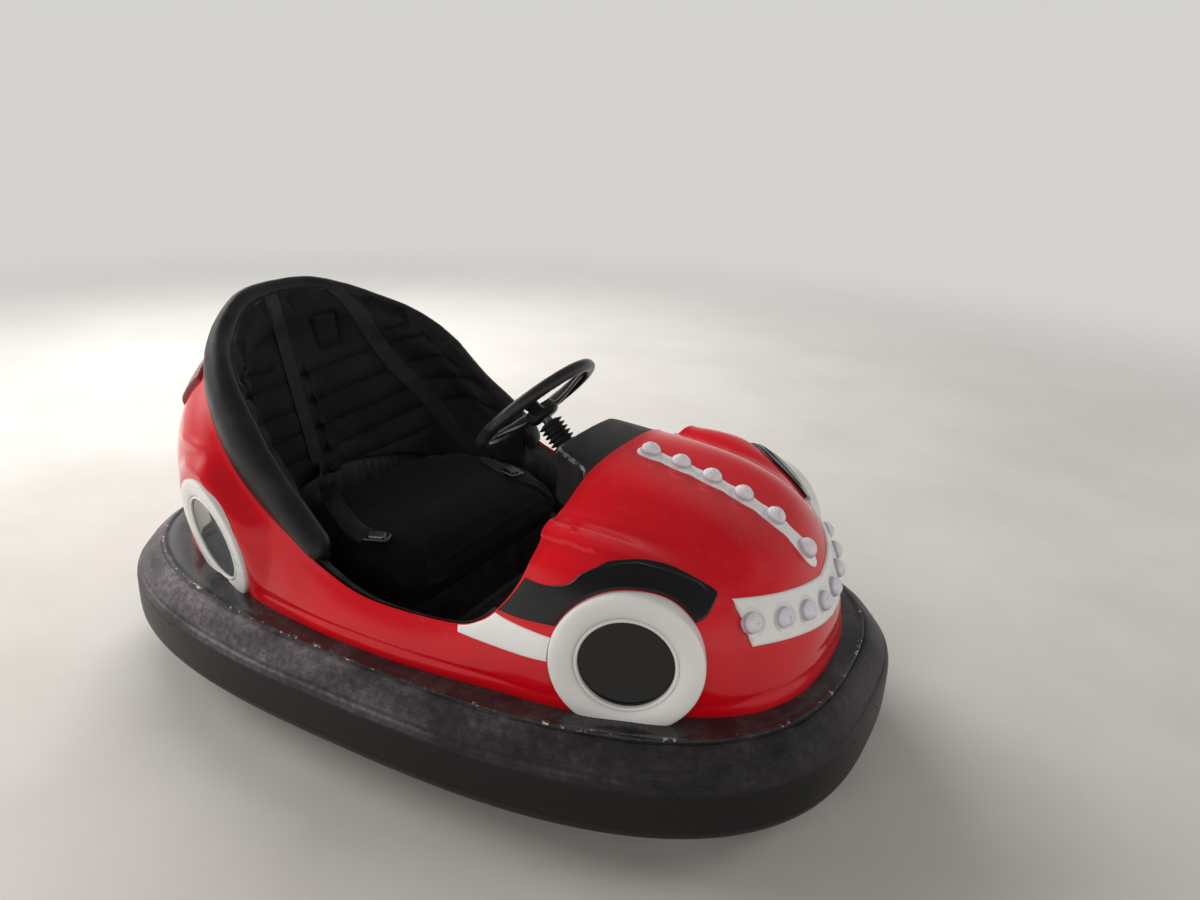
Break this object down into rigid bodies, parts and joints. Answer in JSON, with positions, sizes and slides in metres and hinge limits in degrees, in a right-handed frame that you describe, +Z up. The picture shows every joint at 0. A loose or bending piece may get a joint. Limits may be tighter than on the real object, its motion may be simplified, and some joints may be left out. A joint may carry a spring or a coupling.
{
  "type": "two-seat fairground bumper car",
  "caption": "Fairground bumper car with an inflated rubber bumper ring, moulded shell, bench seat, steered drive wheel and two rear wheels.",
  "frame": {"origin": "centre of the bounding box, on the floor that the wheels stand on", "axes": "+X forward to the nose, +Y to the driver's left, +Z up"},
  "size_m": [1.93, 1.2, 0.881],
  "materials": {
    "bumper_rubber": "dusty matt",
    "plated_steel": "zinc plated",
    "rim_enamel": "scuffed satin",
    "frame_enamel": "satin",
    "red_gelcoat": "polished",
    "black_gelcoat": "polished",
    "white_gelcoat": "polished",
    "smoked_plastic": "hazed",
    "mat_rubber": "ribbed",
    "lamp_plastic": "frosted",
    "tail_plastic": "clear over red",
    "roll_vinyl": "soft sheen",
    "seat_fabric": "quilted",
    "webbing": "woven",
    "buckle_metal": "worn",
    "boot_rubber": "satin",
    "wheel_plastic": "satin",
    "hub_metal": "cast",
    "tyre_rubber": "matt",
    "battery_case": "matt"
  },
  "bodies": {
    "chassis": {"bumper_tube": "bumper_rubber", "valve_stem": "plated_steel", "rim_band": "rim_enamel", "floor_pan": "frame_enamel", "chassis_rails": "frame_enamel", "body_shell": "red_gelcoat", "cockpit_liner": "black_gelcoat", "floor_mat": "mat_rubber", "dash_cowl": "black_gelcoat", "front_trims": "white_gelcoat", "rear_trims": "white_gelcoat", "front_discs": "black_gelcoat", "rear_discs": "smoked_plastic", "arch_bands": "black_gelcoat", "side_stripes": "white_gelcoat", "lamp_strip": "white_gelcoat", "strip_lamps": "lamp_plastic", "nose_band": "white_gelcoat", "nose_lamps": "lamp_plastic", "tail_lamps": "tail_plastic", "padded_roll": "roll_vinyl", "backrest": "seat_fabric", "seat_base": "black_gelcoat", "seat_cushion": "seat_fabric", "harness_left": "webbing", "harness_right": "webbing", "harness_buckles": "buckle_metal", "column_bracket": "frame_enamel", "steering_column": "frame_enamel", "column_boot": "boot_rubber", "pedal": "frame_enamel", "drive_bridge": "frame_enamel", "rear_forks": "frame_enamel", "rear_axles": "plated_steel", "battery_pack": "battery_case"},
    "steering": {"steering_wheel": "wheel_plastic", "steering_shaft": "plated_steel"},
    "drive_unit": {"drive_fork": "frame_enamel"},
    "drive_wheel": {"drive_hub": "hub_metal", "drive_tyre": "tyre_rubber"},
    "rear_wheel_left": {"rear_hub_left": "hub_metal", "rear_tyre_left": "tyre_rubber"},
    "rear_wheel_right": {"rear_hub_right": "hub_metal", "rear_tyre_right": "tyre_rubber"}
  },
  "joints": [
    {"name": "steering_turn", "type": "hinge", "parent": "chassis", "child": "steering", "pos_m": [0.112, 0, 0.698], "axis": [-0.7071, 0, 0.7071], "continuous": true},
    {"name": "drive_yaw", "type": "hinge", "parent": "chassis", "child": "drive_unit", "pos_m": [0.505, 0, 0.1], "axis": [0, 0, 1], "continuous": true},
    {"name": "drive_spin", "type": "hinge", "parent": "drive_unit", "child": "drive_wheel", "pos_m": [0.505, 0, 0.1], "axis": [0, 1, 0], "continuous": true},
    {"name": "rear_left_spin", "type": "hinge", "parent": "chassis", "child": "rear_wheel_left", "pos_m": [-0.47, 0.37, 0.075], "axis": [0, 1, 0], "continuous": true},
    {"name": "rear_right_spin", "type": "hinge", "parent": "chassis", "child": "rear_wheel_right", "pos_m": [-0.47, -0.37, 0.075], "axis": [0, 1, 0], "continuous": true}
  ],
  "couplings": [
    {"joint": "drive_yaw", "follows": "steering_turn", "ratio": 1}
  ]
}
